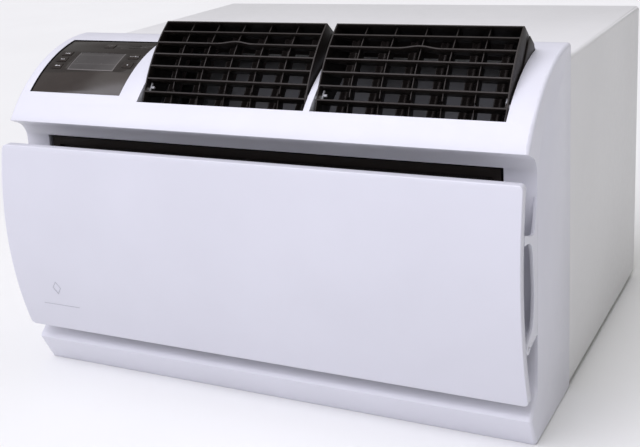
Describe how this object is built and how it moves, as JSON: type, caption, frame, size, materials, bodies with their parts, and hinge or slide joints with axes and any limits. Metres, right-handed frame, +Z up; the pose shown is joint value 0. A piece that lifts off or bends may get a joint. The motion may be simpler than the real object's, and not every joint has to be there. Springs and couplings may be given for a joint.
{
  "type": "window air conditioner",
  "caption": "Boxy room air conditioner with a bowed intake panel, rounded top, tilting black louvre grilles with turning vanes, and a touch-key control panel.",
  "frame": {"origin": "centre of the footprint, on the surface that the unit stands on", "axes": "+X to the right seen from the room, +Y towards the outdoors, +Z up"},
  "size_m": [0.614, 0.5486, 0.4115],
  "materials": {
    "bezel_plastic": "fine moulded texture, cool white",
    "panel_plastic": "fine moulded texture, cool white",
    "cabinet_paint": "powder-coated sheet steel",
    "pan_steel": "galvanised sheet",
    "louvre_plastic": "near-black moulded plastic",
    "vane_plastic": "near-black moulded plastic",
    "clip_plastic": "light grey acetal",
    "lens_plastic": "glossy brown-black",
    "display_glass": "grey liquid crystal panel",
    "key_plastic": "glossy brown-black with a soft edge",
    "sensor_plastic": "dark infra-red window",
    "filter_plastic": "black moulded frame",
    "filter_cloth": "fine dark nylon mesh",
    "coil_aluminium": "thin fins",
    "copper": "drawn copper tube",
    "steel": "plain steel",
    "black_paint": "black enamel",
    "white_foam": "moulded insulation",
    "grey_plastic": "grey moulded plastic",
    "rubber": "soft black",
    "board": "green circuit board"
  },
  "bodies": {
    "chassis": {"front_bezel": "bezel_plastic", "panel_arms": "bezel_plastic", "cabinet_wrapper": "cabinet_paint", "rear_guard": "cabinet_paint", "cabinet_screws": "steel", "base_pan": "pan_steel", "base_runners": "black_paint", "cord_gland": "rubber", "control_lens": "lens_plastic", "display": "display_glass", "remote_sensor": "sensor_plastic", "control_board": "board", "control_box": "grey_plastic", "evaporator_coil": "coil_aluminium", "condenser_coil": "coil_aluminium", "coil_end_plates": "pan_steel", "coil_return_bends": "copper", "drip_tray": "grey_plastic", "fan_motor": "grey_plastic", "motor_mount": "pan_steel", "fan_shroud": "pan_steel", "blower_housing": "white_foam", "discharge_duct": "grey_plastic", "bulkhead": "pan_steel", "compressor": "black_paint", "compressor_grommets": "rubber", "suction_line": "copper", "discharge_line": "copper", "liquid_line": "copper"},
    "panel": {"intake_panel": "panel_plastic", "panel_hinge_pins": "steel"},
    "filter": {"filter_frame": "filter_plastic", "filter_mesh": "filter_cloth"},
    "grille_left": {"louvre_grille_left": "louvre_plastic", "trunnions_left": "clip_plastic"},
    "vane_left_1": {"vane_left_1": "vane_plastic"},
    "vane_left_2": {"vane_left_2": "vane_plastic"},
    "vane_left_3": {"vane_left_3": "vane_plastic"},
    "vane_left_4": {"vane_left_4": "vane_plastic"},
    "vane_left_5": {"vane_left_5": "vane_plastic"},
    "vane_left_6": {"vane_left_6": "vane_plastic"},
    "link_left": {"vane_link_left": "vane_plastic"},
    "grille_right": {"louvre_grille_right": "louvre_plastic", "trunnions_right": "clip_plastic"},
    "vane_right_1": {"vane_right_1": "vane_plastic"},
    "vane_right_2": {"vane_right_2": "vane_plastic"},
    "vane_right_3": {"vane_right_3": "vane_plastic"},
    "vane_right_4": {"vane_right_4": "vane_plastic"},
    "vane_right_5": {"vane_right_5": "vane_plastic"},
    "vane_right_6": {"vane_right_6": "vane_plastic"},
    "link_right": {"vane_link_right": "vane_plastic"},
    "key_mode": {"key_mode": "key_plastic"},
    "key_fan": {"key_fan": "key_plastic"},
    "key_timer": {"key_timer": "key_plastic"},
    "key_power": {"key_power": "key_plastic"},
    "key_up": {"key_up": "key_plastic"},
    "key_down": {"key_down": "key_plastic"},
    "fan_rotor": {"motor_shaft": "steel", "blower_wheel": "grey_plastic", "condenser_fan": "grey_plastic"}
  },
  "joints": [
    {"name": "panel_tilt", "type": "hinge", "parent": "chassis", "child": "panel", "pos_m": [0, -0.2505, 0.117], "axis": [1, 0, 0], "range_deg": [0, 15]},
    {"name": "filter_tilt", "type": "hinge", "parent": "chassis", "child": "filter", "pos_m": [0, -0.211, 0.074], "axis": [1, 0, 0], "range_deg": [0, 7]},
    {"name": "grille_left_tilt", "type": "hinge", "parent": "chassis", "child": "grille_left", "pos_m": [-0.0365, -0.206, 0.342], "axis": [1, 0, 0], "range_deg": [-25, 0]},
    {"name": "vane_left_1_turn", "type": "hinge", "parent": "grille_left", "child": "vane_left_1", "pos_m": [-0.11933, -0.19773, 0.31189], "axis": [0, 0.6167, 0.7872], "range_deg": [-5, 75]},
    {"name": "vane_left_2_turn", "type": "hinge", "parent": "grille_left", "child": "vane_left_2", "pos_m": [-0.0862, -0.19773, 0.31189], "axis": [0, 0.6167, 0.7872], "range_deg": [-5, 75]},
    {"name": "vane_left_3_turn", "type": "hinge", "parent": "grille_left", "child": "vane_left_3", "pos_m": [-0.05307, -0.19773, 0.31189], "axis": [0, 0.6167, 0.7872], "range_deg": [-5, 75]},
    {"name": "vane_left_4_turn", "type": "hinge", "parent": "grille_left", "child": "vane_left_4", "pos_m": [-0.01993, -0.19773, 0.31189], "axis": [0, 0.6167, 0.7872], "range_deg": [-5, 75]},
    {"name": "vane_left_5_turn", "type": "hinge", "parent": "grille_left", "child": "vane_left_5", "pos_m": [0.0132, -0.19773, 0.31189], "axis": [0, 0.6167, 0.7872], "range_deg": [-5, 75]},
    {"name": "vane_left_6_turn", "type": "hinge", "parent": "grille_left", "child": "vane_left_6", "pos_m": [0.04633, -0.19773, 0.31189], "axis": [0, 0.6167, 0.7872], "range_deg": [-5, 75]},
    {"name": "link_left_swing", "type": "hinge", "parent": "vane_left_1", "child": "link_left", "pos_m": [-0.11474, -0.18751, 0.31431], "axis": [0, 0.6167, 0.7872], "range_deg": [-75, 5]},
    {"name": "grille_right_tilt", "type": "hinge", "parent": "chassis", "child": "grille_right", "pos_m": [0.1765, -0.206, 0.342], "axis": [1, 0, 0], "range_deg": [-25, 0]},
    {"name": "vane_right_1_turn", "type": "hinge", "parent": "grille_right", "child": "vane_right_1", "pos_m": [0.09367, -0.19773, 0.31189], "axis": [0, 0.6167, 0.7872], "range_deg": [-5, 75]},
    {"name": "vane_right_2_turn", "type": "hinge", "parent": "grille_right", "child": "vane_right_2", "pos_m": [0.1268, -0.19773, 0.31189], "axis": [0, 0.6167, 0.7872], "range_deg": [-5, 75]},
    {"name": "vane_right_3_turn", "type": "hinge", "parent": "grille_right", "child": "vane_right_3", "pos_m": [0.15993, -0.19773, 0.31189], "axis": [0, 0.6167, 0.7872], "range_deg": [-5, 75]},
    {"name": "vane_right_4_turn", "type": "hinge", "parent": "grille_right", "child": "vane_right_4", "pos_m": [0.19307, -0.19773, 0.31189], "axis": [0, 0.6167, 0.7872], "range_deg": [-5, 75]},
    {"name": "vane_right_5_turn", "type": "hinge", "parent": "grille_right", "child": "vane_right_5", "pos_m": [0.2262, -0.19773, 0.31189], "axis": [0, 0.6167, 0.7872], "range_deg": [-5, 75]},
    {"name": "vane_right_6_turn", "type": "hinge", "parent": "grille_right", "child": "vane_right_6", "pos_m": [0.25933, -0.19773, 0.31189], "axis": [0, 0.6167, 0.7872], "range_deg": [-5, 75]},
    {"name": "link_right_swing", "type": "hinge", "parent": "vane_right_1", "child": "link_right", "pos_m": [0.09825, -0.18751, 0.31431], "axis": [0, 0.6167, 0.7872], "range_deg": [-75, 5]},
    {"name": "key_mode_press", "type": "slide", "parent": "chassis", "child": "key_mode", "axis": [0, 0.3714, -0.9285], "range_m": [0, 0.0006], "stiffness_N_per_m": 400},
    {"name": "key_fan_press", "type": "slide", "parent": "chassis", "child": "key_fan", "axis": [0, 0.4305, -0.9026], "range_m": [0, 0.0006], "stiffness_N_per_m": 400},
    {"name": "key_timer_press", "type": "slide", "parent": "chassis", "child": "key_timer", "axis": [0, 0.4894, -0.8721], "range_m": [0, 0.0006], "stiffness_N_per_m": 400},
    {"name": "key_power_press", "type": "slide", "parent": "chassis", "child": "key_power", "axis": [0, 0.2672, -0.9636], "range_m": [0, 0.0006], "stiffness_N_per_m": 400},
    {"name": "key_up_press", "type": "slide", "parent": "chassis", "child": "key_up", "axis": [0, 0.3843, -0.9232], "range_m": [0, 0.0006], "stiffness_N_per_m": 400},
    {"name": "key_down_press", "type": "slide", "parent": "chassis", "child": "key_down", "axis": [0, 0.4648, -0.8854], "range_m": [0, 0.0006], "stiffness_N_per_m": 400},
    {"name": "fan_spin", "type": "hinge", "parent": "chassis", "child": "fan_rotor", "pos_m": [0.04, 0, 0.17], "axis": [0, 1, 0], "continuous": true}
  ],
  "couplings": [
    {"joint": "vane_left_2_turn", "follows": "vane_left_1_turn", "ratio": 1},
    {"joint": "vane_left_3_turn", "follows": "vane_left_1_turn", "ratio": 1},
    {"joint": "vane_left_4_turn", "follows": "vane_left_1_turn", "ratio": 1},
    {"joint": "vane_left_5_turn", "follows": "vane_left_1_turn", "ratio": 1},
    {"joint": "vane_left_6_turn", "follows": "vane_left_1_turn", "ratio": 1},
    {"joint": "link_left_swing", "follows": "vane_left_1_turn", "ratio": -1},
    {"joint": "vane_right_2_turn", "follows": "vane_right_1_turn", "ratio": 1},
    {"joint": "vane_right_3_turn", "follows": "vane_right_1_turn", "ratio": 1},
    {"joint": "vane_right_4_turn", "follows": "vane_right_1_turn", "ratio": 1},
    {"joint": "vane_right_5_turn", "follows": "vane_right_1_turn", "ratio": 1},
    {"joint": "vane_right_6_turn", "follows": "vane_right_1_turn", "ratio": 1},
    {"joint": "link_right_swing", "follows": "vane_right_1_turn", "ratio": -1}
  ]
}
